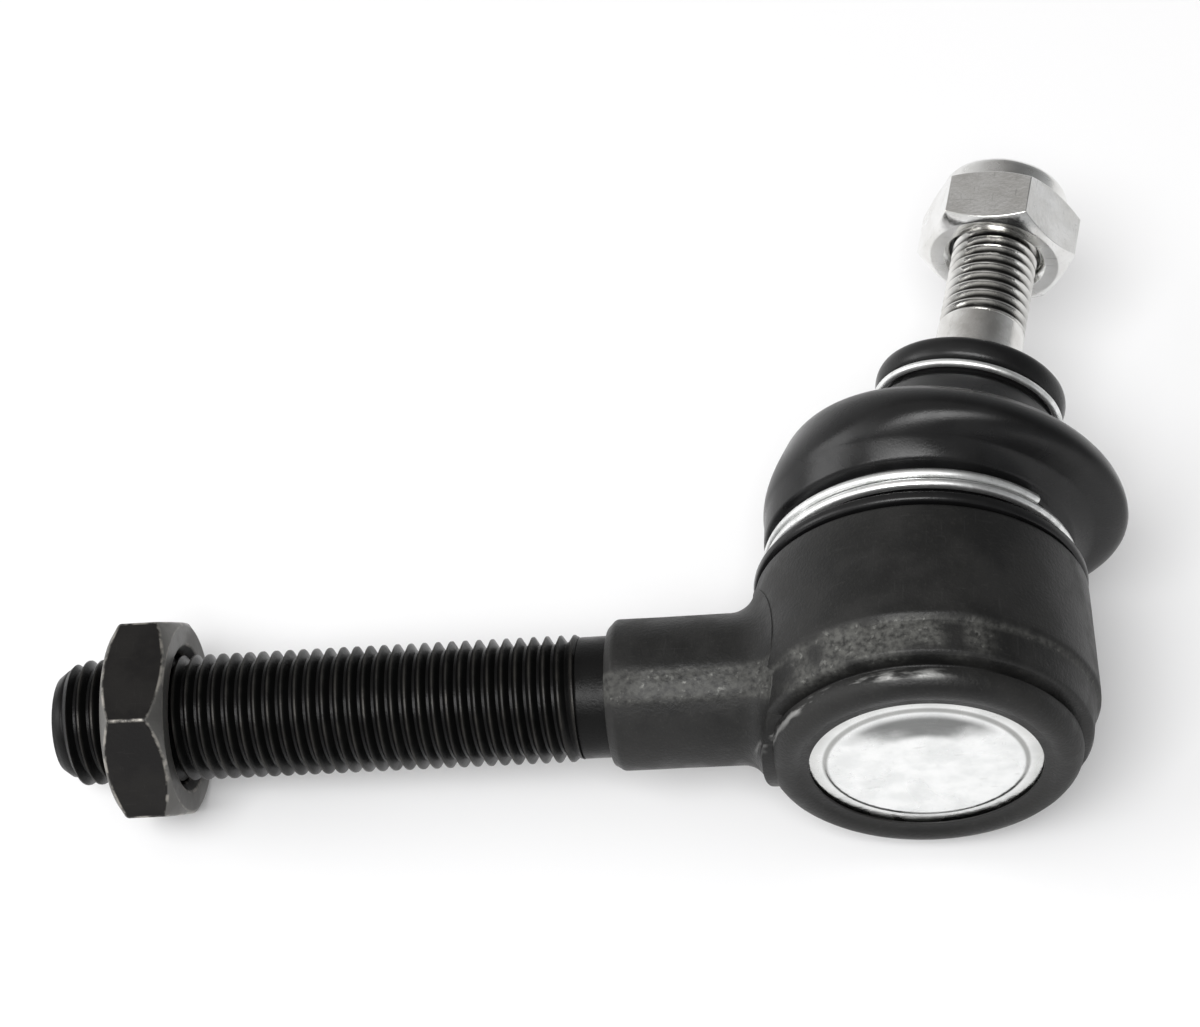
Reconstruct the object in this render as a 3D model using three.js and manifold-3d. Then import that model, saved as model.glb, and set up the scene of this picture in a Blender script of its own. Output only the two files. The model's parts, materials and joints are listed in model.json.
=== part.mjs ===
// Outer tie rod end of a car's steering: a forged eye with a threaded shank, and in the eye a ball
// stud under a rubber dust boot. Millimetres, +Z up. The part lies on a bench as it is put down:
// on the jam nut, the boot and the eye. The shank points along -X and the stud along +Y.
import * as THREE from 'three';
import { mergeVertices } from 'three/addons/utils/BufferGeometryUtils.js';
import Module from 'manifold-3d';

// ---- driving dimensions ----------------------------------------------------------------------
const GAP = 0.3; // running gap between neighbouring pieces

// threads (major radius, and the plain bore that clears it)
const SHANK_THREAD_R = 6.85; // M14 x 1.5
const STUD_THREAD_R = 4.9; // M10 x 1.25

// forged housing, turned about the eye's axis (Y); the shank's axis is X at y = 0
const EYE_R = 18.5;
const EYE_TOP = 10.5;
const EYE_TOP_R = 17.9;
const PARTING_Y = -3.6; // forging die line
const RIM_BOTTOM = -10.9;
const RIM_R = 16.5;
const MOUTH_R = 12.2; // hole inside the rolled rim, where the end cap shows
const BORE_R = 12.3;
const SPIGOT_R = 14.2;
const SPIGOT_TOP = 17.5;
const NECK_R = 8.25;
const NECK_START = -33.3;
const RELIEF_START = -36.6;
const SHANK_END = -94.2;

// ball joint
const BALL_Y = 2; // ball centre above the shank's axis
const BALL_R = 9.5;
const SEAT_R = BORE_R - GAP;
const CAP_FACE_Y = -10;
const CAP_BACK_Y = -8.4;
const CAP_R = 13.3;

// ball stud, measured from the ball centre along the stud
const STUD_NECK_R = 4.8;
const TAPER_BIG_R = 5.45;
const TAPER_SMALL_R = 4.92;
const TAPER_START = 21.5;
const TAPER_END = 43.4;
const STUD_END = 61.5;
const STUD_LEAN_X_DEG = 10.6; // lean away from the shank as it lies
const STUD_LEAN_Z_DEG = 3.2; // lean up

// dust boot and its wire rings
const BOOT_WALL = 1.4;
const CUFF_R = 18.1;
const BOOT_R = 19.3;
const LIP_R = 10.75;
const LIP_BORE_R = 5.6;
const LARGE_WIRE_R = 0.55;
const LARGE_RING_R = 16.5;
const LARGE_RING_Y = 13.75;
const LARGE_RING_PITCH = 1.25;
const LARGE_RING_TURNS = 1.8;
const LARGE_RING_START_DEG = 34;
const SMALL_WIRE_R = 0.45;
const SMALL_RING_R = 10.25;
const SMALL_RING_S = 32.1; // along the stud from the ball centre

// nuts
const STUD_NUT_FLATS = 16;
const STUD_NUT_FACE = 53.5; // bearing face, along the stud from the ball centre
const STUD_NUT_HEX = 6.9;
const STUD_NUT_HEIGHT = 10;
const STUD_NUT_TURN_DEG = -5.7;
const JAM_NUT_FLATS = 21;
const JAM_NUT_X = -87.3;
const JAM_NUT_HEIGHT = 7;
const JAM_NUT_TURN_DEG = 2;

// how it lies on the bench
const REST_DIP_DEG = 5.24; // the shank's end is lower than the eye
const REST_ROLL_DEG = -0.97; // the eye's cap side sits a little higher than the boot's side

const ROUND = 48;
const SMALL_ROUND = 32;

// ---- materials ---------------------------------------------------------------------------------
function steel(color, roughness) {
  return new THREE.MeshStandardMaterial({ color, roughness, metalness: 1 });
}
function plain(color, roughness) {
  return new THREE.MeshStandardMaterial({ color, roughness, metalness: 0 });
}
const blackForging = steel(0x1f2021, 0.5);
const brightZinc = steel(0xc9ccd0, 0.28);
const zincCap = steel(0xd6d7d8, 0.3);
const wireZinc = steel(0xb9bcbd, 0.32);
const turnedSteel = steel(0x9c9a94, 0.3);
const springSteel = steel(0x55585c, 0.4);
const blackRubber = plain(0x121212, 0.55);
const seatPlastic = plain(0xd8d3c4, 0.5);
const nylon = plain(0xdfe3e6, 0.45);

// ---- solids ------------------------------------------------------------------------------------
const wasm = await Module();
wasm.setup();

function solidOf(geometry) {
  const bare = geometry.clone();
  bare.deleteAttribute('normal');
  bare.deleteAttribute('uv');
  const merged = mergeVertices(bare, 1e-4);
  return new wasm.Manifold(new wasm.Mesh({
    numProp: 3,
    vertProperties: new Float32Array(merged.attributes.position.array),
    triVerts: new Uint32Array(merged.index.array),
  }));
}

function geometryOf(solid) {
  const mesh = solid.getMesh();
  const geometry = new THREE.BufferGeometry();
  geometry.setAttribute('position', new THREE.BufferAttribute(new Float32Array(mesh.vertProperties), 3));
  geometry.setIndex(new THREE.BufferAttribute(new Uint32Array(mesh.triVerts), 1));
  geometry.computeVertexNormals();
  return geometry;
}

// Points of an arc in a profile, centre (r, y), from one angle to another in degrees.
function arc(r, y, radius, from, to, steps) {
  return Array.from({ length: steps + 1 }, (_, i) => {
    const angle = THREE.MathUtils.degToRad(from + (to - from) * i / steps);
    return [r + radius * Math.cos(angle), y + radius * Math.sin(angle)];
  });
}

// A solid turned about Y. The profile runs upwards on the outside; one off the axis closes on itself.
function turned(profile, segments = ROUND) {
  const points = profile.map(([r, y]) => new THREE.Vector2(r, y));
  if (profile[0][0] > 0) points.push(points[0].clone());
  return new THREE.LatheGeometry(points, segments);
}

// The same solid with its axis along X: the profile's upward direction becomes +X.
function turnedAlongX(profile, segments = ROUND) {
  return turned(profile, segments).rotateZ(-Math.PI / 2);
}

// Hexagonal prism about Y from y = 0, with two corners on the X axis.
function hexagon(flats, height) {
  const corner = flats / Math.sqrt(3);
  const outline = new THREE.Shape(Array.from({ length: 6 }, (_, i) => {
    const angle = i * Math.PI / 3;
    return new THREE.Vector2(corner * Math.cos(angle), corner * Math.sin(angle));
  }));
  return new THREE.ExtrudeGeometry(outline, { depth: height, bevelEnabled: false }).rotateX(-Math.PI / 2);
}

function meshOf(name, geometry, material) {
  const mesh = new THREE.Mesh(geometry, material);
  mesh.name = name;
  return mesh;
}

// ---- housing -----------------------------------------------------------------------------------
function housing() {
  const belowParting = EYE_R - 0.5;
  const eye = turned([
    [0, RIM_BOTTOM],
    ...arc(RIM_R - 3, RIM_BOTTOM + 3, 3, -90, 0, 6),
    [RIM_R + 0.1, -8.2],
    [belowParting - 0.6, -7.6],
    [belowParting, PARTING_Y - 0.3],
    [EYE_R, PARTING_Y + 0.3],
    [EYE_TOP_R, EYE_TOP - 0.5],
    [EYE_TOP_R - 0.5, EYE_TOP],
    [SPIGOT_R, EYE_TOP],
    [SPIGOT_R, SPIGOT_TOP - 1.3],
    [SPIGOT_R + 0.8, SPIGOT_TOP - 0.9],
    [SPIGOT_R + 0.8, SPIGOT_TOP - 0.3],
    [SPIGOT_R + 0.4, SPIGOT_TOP],
    [0, SPIGOT_TOP],
  ]);
  const neckEdge = 0.9;
  const shank = turnedAlongX([
    [0, SHANK_END],
    [SHANK_THREAD_R - 1.6, SHANK_END],
    [SHANK_THREAD_R, SHANK_END + 2.2],
    [SHANK_THREAD_R, RELIEF_START],
    [SHANK_THREAD_R - 0.3, RELIEF_START + 0.3],
    [SHANK_THREAD_R - 0.3, NECK_START],
    [NECK_R - neckEdge, NECK_START],
    [NECK_R, NECK_START + neckEdge],
    [NECK_R, -19],
    [NECK_R + 0.7, -17.6],
    [NECK_R + 1.9, -16],
    [NECK_R + 1.9, -8],
    [0, -8],
  ], 40);
  const bore = turned([
    [0, RIM_BOTTOM - 1],
    [MOUTH_R, RIM_BOTTOM - 1],
    [MOUTH_R, CAP_FACE_Y - GAP],
    [CAP_R + GAP, CAP_FACE_Y - GAP],
    [CAP_R + GAP, CAP_BACK_Y + GAP],
    [BORE_R, CAP_BACK_Y + GAP],
    [BORE_R, 5.15],
    [9.8, 7.9],
    [8.9, 7.9],
    [8.9, 8.6],
    [13.7, SPIGOT_TOP + 0.1],
    [13.7, SPIGOT_TOP + 1],
    [0, SPIGOT_TOP + 1],
  ]);
  return geometryOf(solidOf(eye).add(solidOf(shank)).subtract(solidOf(bore)));
}

// ---- ball joint inside the eye -----------------------------------------------------------------
function ballArc(radius, fromY, toY, steps) {
  const angleAt = (y) => THREE.MathUtils.radToDeg(Math.asin((y - BALL_Y) / radius));
  return arc(0, BALL_Y, radius, angleAt(fromY), angleAt(toY), steps);
}

function upperSeat() {
  const bottom = BALL_Y + GAP;
  return turned([
    [SEAT_R, bottom],
    [SEAT_R, 5],
    [9.5, 7.6],
    ...ballArc(BALL_R + GAP, 7.6, bottom, 7),
  ], 40);
}

function lowerSeat() {
  const bottom = -5.6;
  return turned([
    [SEAT_R - 0.8, bottom],
    [SEAT_R, bottom + 0.8],
    [SEAT_R, BALL_Y - GAP],
    ...ballArc(BALL_R + GAP, BALL_Y - GAP, bottom, 9),
  ], 40);
}

function preloadSpring() {
  const thickness = 0.7;
  const [outerR, outerY] = [11.4, CAP_BACK_Y + GAP];
  const [innerR, innerY] = [8, -6.6];
  return turned([
    [innerR, innerY],
    [outerR, outerY],
    [outerR, outerY + thickness],
    [innerR, innerY + thickness],
  ], 40);
}

function endCap() {
  const stepR = 10.75;
  return turned([
    [0, CAP_FACE_Y - 0.55],
    [5.5, CAP_FACE_Y - 0.47],
    [stepR - 0.6, CAP_FACE_Y - 0.3],
    [stepR, CAP_FACE_Y],
    [CAP_R - 0.3, CAP_FACE_Y],
    [CAP_R, CAP_FACE_Y + 0.3],
    [CAP_R, CAP_BACK_Y],
    [0, CAP_BACK_Y],
  ]);
}

// ---- ball stud and nut, built about Y from the ball centre -------------------------------------
function ballStud() {
  const flatY = -8.4;
  const neckAngle = THREE.MathUtils.radToDeg(Math.acos(STUD_NECK_R / BALL_R));
  const flatAngle = THREE.MathUtils.radToDeg(Math.asin(flatY / BALL_R));
  return turned([
    [0, flatY],
    ...arc(0, 0, BALL_R, flatAngle, neckAngle, 12),
    [STUD_NECK_R, 17.5],
    [TAPER_BIG_R, TAPER_START],
    [TAPER_SMALL_R, TAPER_END],
    [STUD_THREAD_R, TAPER_END + 0.5],
    [STUD_THREAD_R, STUD_END - 0.9],
    [STUD_THREAD_R - 0.9, STUD_END],
    [0, STUD_END],
  ], SMALL_ROUND);
}

// Bearing face at y = 0, then the hexagon, then the round collar that holds the nylon ring.
const INSERT_R = 6.1;
const INSERT_BOTTOM = 7.3;
const INSERT_TOP = 9.2;

function studNut() {
  const corner = STUD_NUT_FLATS / Math.sqrt(3);
  const collarR = 7.3;
  const faceR = 7.4;
  const hex = solidOf(hexagon(STUD_NUT_FLATS, STUD_NUT_HEIGHT));
  const outside = solidOf(turned([
    [0, 0],
    [faceR, 0],
    [corner, (corner - faceR) * 0.62],
    [corner, STUD_NUT_HEX - (corner - STUD_NUT_FLATS / 2) * 0.6],
    [STUD_NUT_FLATS / 2, STUD_NUT_HEX],
    [collarR, STUD_NUT_HEX + 0.3],
    ...arc(collarR - 1.4, STUD_NUT_HEIGHT - 1.4, 1.4, 0, 90, 5),
    [0, STUD_NUT_HEIGHT],
  ]));
  const boreR = STUD_THREAD_R + GAP;
  const hollow = solidOf(turned([
    [0, -1],
    [boreR + 1.7, -1],
    [boreR + 0.7, 0],
    [boreR, 0.9],
    [boreR, INSERT_BOTTOM - GAP],
    [INSERT_R + GAP, INSERT_BOTTOM - GAP],
    [INSERT_R + GAP, INSERT_TOP + GAP],
    [INSERT_R - 0.3, INSERT_TOP + GAP],
    [INSERT_R - 0.3, STUD_NUT_HEIGHT + 1],
    [0, STUD_NUT_HEIGHT + 1],
  ], SMALL_ROUND));
  return geometryOf(hex.intersect(outside).subtract(hollow));
}

function nutInsert() {
  const innerR = STUD_THREAD_R + GAP;
  return turned([
    [innerR, INSERT_BOTTOM],
    [INSERT_R, INSERT_BOTTOM],
    [INSERT_R, INSERT_TOP],
    [innerR, INSERT_TOP],
  ], SMALL_ROUND);
}

// ---- jam nut, turned along X from its shank-end face -------------------------------------------
function jamNut() {
  const corner = JAM_NUT_FLATS / Math.sqrt(3);
  const faceR = JAM_NUT_FLATS / 2 - 0.3;
  const chamfer = (corner - faceR) * 0.72;
  const boreR = SHANK_THREAD_R + GAP;
  const hex = solidOf(hexagon(JAM_NUT_FLATS, JAM_NUT_HEIGHT));
  const outside = solidOf(turned([
    [0, 0],
    [faceR, 0],
    [corner, chamfer],
    [corner, JAM_NUT_HEIGHT - chamfer],
    [faceR, JAM_NUT_HEIGHT],
    [0, JAM_NUT_HEIGHT],
  ]));
  const hole = solidOf(turned([
    [0, -1],
    [boreR + 1.9, -1],
    [boreR, 0.9],
    [boreR, JAM_NUT_HEIGHT - 0.9],
    [boreR + 1.9, JAM_NUT_HEIGHT + 1],
    [0, JAM_NUT_HEIGHT + 1],
  ], 48));
  return geometryOf(hex.intersect(outside).subtract(hole)).rotateZ(-Math.PI / 2);
}

// ---- boot --------------------------------------------------------------------------------------
// Turned straight about the ball centre, then leaned with the stud: the cuff stays on the eye, the
// lip follows the stud, and the belly between them takes up the lean.
const LEAN_START = SPIGOT_TOP - BALL_Y - 1;
const LEAN_END = LEAN_START + 7;

function leanDirection(share) {
  const x = Math.tan(THREE.MathUtils.degToRad(STUD_LEAN_X_DEG * share));
  const z = Math.tan(THREE.MathUtils.degToRad(STUD_LEAN_Z_DEG * share));
  return new THREE.Vector3(x, 1, z).normalize();
}

function leanTurn(share) {
  return new THREE.Quaternion().setFromUnitVectors(new THREE.Vector3(0, 1, 0), leanDirection(share));
}

function dustBoot() {
  const cuffBottom = EYE_TOP + GAP - BALL_Y;
  const grooveR = LARGE_RING_R - LARGE_WIRE_R - GAP;
  const grooveBottom = 12.2 - BALL_Y;
  const grooveTop = 16.5 - BALL_Y;
  const lipTop = SMALL_RING_S + 3.7;
  const lipGrooveR = SMALL_RING_R - SMALL_WIRE_R - GAP;
  const bellyInR = BOOT_R - BOOT_WALL;
  const straight = turned([
    [SPIGOT_R + GAP, cuffBottom],
    [CUFF_R - 0.4, cuffBottom],
    [CUFF_R, cuffBottom + 0.4],
    [CUFF_R - 0.3, grooveBottom - 0.2],
    [grooveR, grooveBottom],
    [grooveR, grooveTop],
    [CUFF_R - 1.2, grooveTop + 0.5],
    ...arc(BOOT_R - 4.6, 20.4, 4.6, -50, 50, 7),
    [14.6, 24.6],
    [12.6, 25.7],
    [11.3, 27.4],
    [lipGrooveR + 0.5, SMALL_RING_S - 1.3],
    [lipGrooveR, SMALL_RING_S - 0.7],
    [lipGrooveR, SMALL_RING_S + 0.7],
    [LIP_R - 0.5, SMALL_RING_S + 1.1],
    [LIP_R, SMALL_RING_S + 1.7],
    [LIP_R - 0.4, lipTop - 0.3],
    [LIP_R - 1.2, lipTop],
    [LIP_BORE_R, lipTop - 0.3],
    [LIP_BORE_R, SMALL_RING_S - 1.5],
    [LIP_R - 2.4, SMALL_RING_S - 2.9],
    [11.8, 24.3],
    [14, 23.1],
    ...arc(bellyInR - 3.4, 20.4, 3.4, 45, -45, 5),
    [SPIGOT_R + 0.8 + GAP, grooveTop + 0.4],
    [SPIGOT_R + 0.8 + GAP, SPIGOT_TOP - 1.4 - BALL_Y],
    [SPIGOT_R + GAP, SPIGOT_TOP - 1.8 - BALL_Y],
  ]);
  const position = straight.attributes.position;
  const point = new THREE.Vector3();
  for (let i = 0; i < position.count; i++) {
    point.fromBufferAttribute(position, i);
    const share = THREE.MathUtils.smoothstep(point.y, LEAN_START, LEAN_END);
    point.applyQuaternion(leanTurn(share));
    position.setXYZ(i, point.x, point.y + BALL_Y, point.z);
  }
  straight.computeVertexNormals();
  return straight;
}

// Coil of round wire about Y: radius, height per turn and number of turns.
class Coil extends THREE.Curve {
  constructor(radius, pitch, turns, startAngle) {
    super();
    Object.assign(this, { radius, pitch, turns, startAngle });
  }

  getPoint(t, target = new THREE.Vector3()) {
    const angle = this.startAngle + t * this.turns * 2 * Math.PI;
    return target.set(
      this.radius * Math.cos(angle),
      this.pitch * this.turns * t,
      -this.radius * Math.sin(angle),
    );
  }
}

function wireRing(radius, wireR, pitch, turns, startAngle) {
  const section = new THREE.Shape().absarc(0, 0, wireR, 0, 2 * Math.PI);
  return new THREE.ExtrudeGeometry(section, {
    curveSegments: 4,
    steps: Math.round(turns * 36),
    extrudePath: new Coil(radius, pitch, turns, startAngle),
  });
}

// ---- assembly ----------------------------------------------------------------------------------
const eyeParts = new THREE.Group();
eyeParts.add(
  meshOf('housing', housing(), blackForging),
  meshOf('upper_bearing_seat', upperSeat(), seatPlastic),
  meshOf('lower_bearing_seat', lowerSeat(), seatPlastic),
  meshOf('preload_spring', preloadSpring(), springSteel),
  meshOf('end_cap', endCap(), zincCap),
  meshOf('dust_boot', dustBoot(), blackRubber),
);

const largeRing = meshOf(
  'boot_large_ring',
  wireRing(LARGE_RING_R, LARGE_WIRE_R, LARGE_RING_PITCH, LARGE_RING_TURNS,
    THREE.MathUtils.degToRad(LARGE_RING_START_DEG)),
  wireZinc,
);
largeRing.position.y = LARGE_RING_Y - LARGE_RING_PITCH * 0.5;
eyeParts.add(largeRing);

const jamNutMesh = meshOf('jam_nut', jamNut(), blackForging);
jamNutMesh.position.x = JAM_NUT_X;
jamNutMesh.rotation.x = THREE.MathUtils.degToRad(JAM_NUT_TURN_DEG);
eyeParts.add(jamNutMesh);

const studParts = new THREE.Group();
studParts.position.y = BALL_Y;
studParts.quaternion.copy(leanTurn(1));
studParts.add(meshOf('ball_stud', ballStud(), turnedSteel));

const smallRing = meshOf(
  'boot_small_ring',
  wireRing(SMALL_RING_R, SMALL_WIRE_R, 0, 0.985, Math.PI * 0.55),
  wireZinc,
);
smallRing.position.y = SMALL_RING_S;
studParts.add(smallRing);

const nutParts = new THREE.Group();
nutParts.position.y = STUD_NUT_FACE;
nutParts.rotation.y = THREE.MathUtils.degToRad(STUD_NUT_TURN_DEG);
nutParts.add(
  meshOf('stud_nut', studNut(), brightZinc),
  meshOf('nut_insert', nutInsert(), nylon),
);
studParts.add(nutParts);
eyeParts.add(studParts);

// Lay the part on the bench, then put the origin under the middle of its box.
const lying = new THREE.Group();
const dip = new THREE.Group();
dip.rotation.y = THREE.MathUtils.degToRad(-REST_DIP_DEG);
eyeParts.rotation.x = THREE.MathUtils.degToRad(REST_ROLL_DEG);
dip.add(eyeParts);
lying.add(dip);
lying.updateMatrixWorld(true);
const box = new THREE.Box3().setFromObject(lying, true);
const middle = box.getCenter(new THREE.Vector3());
lying.position.set(-middle.x, -middle.y, -box.min.z);

const tieRodEnd = new THREE.Group();
tieRodEnd.add(lying);

export default tieRodEnd;
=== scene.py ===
"""Looks for the tie rod end: forged eye and shank, ball stud, rubber boot with its wires, and two nuts."""
import json
import math

import bmesh
import bpy
from mathutils import Matrix, Vector, noise


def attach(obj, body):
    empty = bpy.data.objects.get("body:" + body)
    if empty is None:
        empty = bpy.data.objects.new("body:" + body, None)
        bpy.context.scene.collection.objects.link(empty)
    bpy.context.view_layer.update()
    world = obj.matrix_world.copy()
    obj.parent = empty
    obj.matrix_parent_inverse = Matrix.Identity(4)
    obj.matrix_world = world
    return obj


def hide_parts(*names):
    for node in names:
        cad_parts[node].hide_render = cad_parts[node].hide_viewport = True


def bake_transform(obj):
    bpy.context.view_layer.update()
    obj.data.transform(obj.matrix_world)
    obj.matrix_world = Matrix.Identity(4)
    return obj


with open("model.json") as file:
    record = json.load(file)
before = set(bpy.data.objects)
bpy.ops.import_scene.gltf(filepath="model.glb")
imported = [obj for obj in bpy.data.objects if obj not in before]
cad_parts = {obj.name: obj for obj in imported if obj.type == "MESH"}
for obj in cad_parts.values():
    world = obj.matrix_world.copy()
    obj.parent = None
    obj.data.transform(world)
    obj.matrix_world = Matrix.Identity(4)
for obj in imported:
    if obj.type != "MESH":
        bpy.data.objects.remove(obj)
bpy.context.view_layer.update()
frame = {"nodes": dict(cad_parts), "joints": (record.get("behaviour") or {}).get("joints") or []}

# ---- the two working frames, in millimetres ----------------------------------------------------
MM = 0.001
BALL_Y = 2.0
LEAN_X_DEG = 10.6
LEAN_Z_DEG = 3.2

joints = {joint["name"]: joint for joint in frame["joints"]}
ball = Vector(joints["stud_swing_sideways"]["pos_m"])
eye_x = Vector(joints["jam_nut_travel"]["axis"]).normalized()
eye_z = Vector(joints["stud_swing_sideways"]["axis"]).normalized()
eye_y = eye_z.cross(eye_x)
stud_y = Vector(joints["stud_spin"]["axis"]).normalized()
eye_turn = Matrix((eye_x, eye_y, eye_z)).transposed()
eye_origin = ball - eye_y * BALL_Y * MM


def lean_turn(share):
    """The turn that leans +Y by a share of the stud's lean."""
    across, up = (math.tan(math.radians(degrees * share)) for degrees in (LEAN_X_DEG, LEAN_Z_DEG))
    lean = Vector((across, 1, up))
    return Vector((0, 1, 0)).rotation_difference(lean.normalized()).to_matrix()


stud_turn = eye_turn @ lean_turn(1)
EYE = Matrix.Translation(eye_origin) @ eye_turn.to_4x4() @ Matrix.Scale(MM, 4)
STUD = Matrix.Translation(ball) @ stud_turn.to_4x4() @ Matrix.Scale(MM, 4)
ALONG_X = Matrix.Rotation(-math.pi / 2, 4, "Z")

# ---- sizes, in millimetres -----------------------------------------------------------------------
SHANK_CREST_R = 6.85
SHANK_ROOT_R = 5.95
SHANK_PITCH = 1.5
SHANK_END = -94.2
RELIEF_START = -36.6
NECK_START = -33.3
NECK_R = 8.25
STUD_CREST_R = 4.9
STUD_ROOT_R = 4.2
STUD_PITCH = 1.25
TAPER_END = 43.4
STUD_END = 61.5
STUD_NUT_FACE = 53.5
STUD_NUT_FLATS = 16.0
STUD_NUT_HEIGHT = 10.0
STUD_NUT_HEX = 6.9
STUD_NUT_TURN_DEG = -5.7
JAM_NUT_X = -87.3
JAM_NUT_FLATS = 21.0
JAM_NUT_HEIGHT = 7.0
JAM_NUT_TURN_DEG = 2.0
JAM_NUT_FACE_R = JAM_NUT_FLATS / 2 - 0.3
JAM_NUT_CHAMFER = 0.72  # depth of its end cones for each millimetre of radius
CAP_R = 13.3
EYE_R = 18.5
PARTING_Y = -3.6  # forging die line
BELOW_PARTING_R = 18.0
LARGE_RING_R = 16.5
LARGE_WIRE_R = 0.55
LARGE_RING_PITCH = 1.25
LARGE_RING_Y = 13.125
SMALL_RING_R = 10.25
SMALL_WIRE_R = 0.45
SMALL_RING_S = 32.1  # along the stud from the ball centre
EYE_SEGMENTS = 144


# ---- mesh helpers --------------------------------------------------------------------------------
def edge_of(points, closed):
    """A bmesh holding one chain of edges through (radius, height, rounding) points, its corners rounded."""
    bm = bmesh.new()
    verts = [bm.verts.new((point[0], point[1], 0)) for point in points]
    for pair in zip(verts, verts[1:]):
        bm.edges.new(pair)
    if closed:
        bm.edges.new((verts[-1], verts[0]))
    roundings = {}
    for vert, point in zip(verts, points):
        if len(point) > 2:
            roundings.setdefault(point[2], []).append(vert)
    for width, corners in roundings.items():
        bmesh.ops.bevel(
            bm, geom=corners, offset=width, offset_type="OFFSET", affect="VERTICES",
            segments=4, profile=0.5, material=-1,
        )
    return bm


def turned(points, segments, closed=False):
    """A solid turned about Y from (radius, height, rounding) points."""
    bm = edge_of(points, closed)
    bmesh.ops.spin(
        bm, geom=bm.verts[:] + bm.edges[:], cent=(0, 0, 0), axis=(0, 1, 0), dvec=(0, 0, 0),
        angle=math.tau, steps=segments, use_merge=True,
    )
    bmesh.ops.remove_doubles(bm, verts=bm.verts, dist=0.001)
    bmesh.ops.recalc_face_normals(bm, faces=bm.faces)
    return bm


def rows(start, end, count):
    """Points evenly spaced from one (radius, height) to another, without the last."""
    return [
        (start[0] + (end[0] - start[0]) * i / count, start[1] + (end[1] - start[1]) * i / count)
        for i in range(count)
    ]


def arc(radius, height, size, start, end, count):
    """Points of an arc about (radius, height), between two angles in degrees."""
    angles = [math.radians(start + (end - start) * i / count) for i in range(count + 1)]
    return [(radius + size * math.cos(a), height + size * math.sin(a)) for a in angles]


def smooth(value, low, high):
    share = min(max((value - low) / (high - low), 0), 1)
    return share * share * (3 - 2 * share)


def thread(start, end, crest, root, pitch, lead_in, run_out, segments=48):
    """Right-hand thread along +Y from start to end. lead_in is a chamfer's (height, depth, length), and
    run_out the two heights between which the groove fades."""
    bm = bmesh.new()
    shape = [(root, 0.0), (root, 0.09), (crest, 0.41), (crest, 0.53), (root, 0.91), (root, 1.0)]
    verts = [bm.verts.new((r, start + (share - 1) * pitch, 0)) for r, share in shape]
    for pair in zip(verts, verts[1:]):
        bm.edges.new(pair)
    turns = math.ceil((end - start) / pitch) + 1
    steps = turns * segments
    bmesh.ops.spin(
        bm, geom=bm.verts[:] + bm.edges[:], cent=(0, 0, 0), axis=(0, 1, 0),
        dvec=(0, pitch / segments, 0), angle=math.tau * turns, steps=steps,
    )
    bmesh.ops.remove_doubles(bm, verts=bm.verts, dist=0.003)
    for height, side in ((start, -1), (end, 1)):
        bmesh.ops.bisect_plane(
            bm, geom=bm.verts[:] + bm.edges[:] + bm.faces[:], dist=0.0005,
            plane_co=(0, height, 0), plane_no=(0, side, 0), clear_outer=True,
        )
    for vert in bm.verts:
        x, y, z = vert.co
        radius = math.hypot(x, z)
        low, high = root - 0.1, crest
        high = min(high, crest - lead_in[1] * (1 - min(abs(y - lead_in[0]) / lead_in[2], 1)))
        if run_out is not None:
            low = root + (crest - 0.3 - root) * smooth(y, run_out[0], run_out[1])
        wanted = min(max(radius, low), high)
        vert.co.x, vert.co.z = x * wanted / radius, z * wanted / radius
    bmesh.ops.holes_fill(bm, edges=[edge for edge in bm.edges if edge.is_boundary])
    bmesh.ops.recalc_face_normals(bm, faces=bm.faces)
    return bm


def gathered(parts):
    """One bmesh of several (bmesh, material index) shells."""
    whole = bmesh.new()
    for part, material in parts:
        for face in part.faces:
            face.material_index = material
        shell = bpy.data.meshes.new("shell")
        part.to_mesh(shell)
        part.free()
        whole.from_mesh(shell)
        bpy.data.meshes.remove(shell)
    return whole


def shaped(body, cuts, bevel=None):
    """body after Boolean cuts (operation, bmesh) and a bevel (width, angle in degrees) on its edges."""
    def loose(bm, name):
        mesh = bpy.data.meshes.new(name)
        bm.to_mesh(mesh)
        bm.free()
        obj = bpy.data.objects.new(name, mesh)
        bpy.context.scene.collection.objects.link(obj)
        return obj

    blank = loose(body, "blank")
    tools = []
    for operation, bm in cuts:
        tools.append(loose(bm, "tool"))
        cut = blank.modifiers.new("cut", "BOOLEAN")
        cut.operation = operation
        cut.solver = "EXACT"
        cut.object = tools[-1]
    if bevel:
        edge = blank.modifiers.new("edge", "BEVEL")
        edge.width = bevel[0]
        edge.segments = 3
        edge.limit_method = "ANGLE"
        edge.angle_limit = math.radians(bevel[1])
    view = bpy.context.evaluated_depsgraph_get()
    mesh = bpy.data.meshes.new_from_object(blank.evaluated_get(view))
    bm = bmesh.new()
    bm.from_mesh(mesh)
    bmesh.ops.remove_doubles(bm, verts=bm.verts, dist=0.002)
    bmesh.ops.dissolve_degenerate(bm, dist=0.001, edges=bm.edges)
    for obj in [blank, *tools]:
        bpy.data.meshes.remove(obj.data)
    bpy.data.meshes.remove(mesh)
    return bm


def mark_edges(bm, widest):
    """Writes 1 to rubbed_edge on the vertices whose faces are all narrow strips, as on a rounded edge."""
    def width(face):
        return face.calc_area() / max(edge.calc_length() for edge in face.edges)

    layer = bm.verts.layers.float.new("rubbed_edge")
    for vert in bm.verts:
        narrow = all(width(face) < widest for face in vert.link_faces)
        bend = max((e.calc_face_angle(0) for e in vert.link_edges), default=0)
        vert[layer] = 1.0 if narrow and bend > math.radians(8) else 0.0


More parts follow.
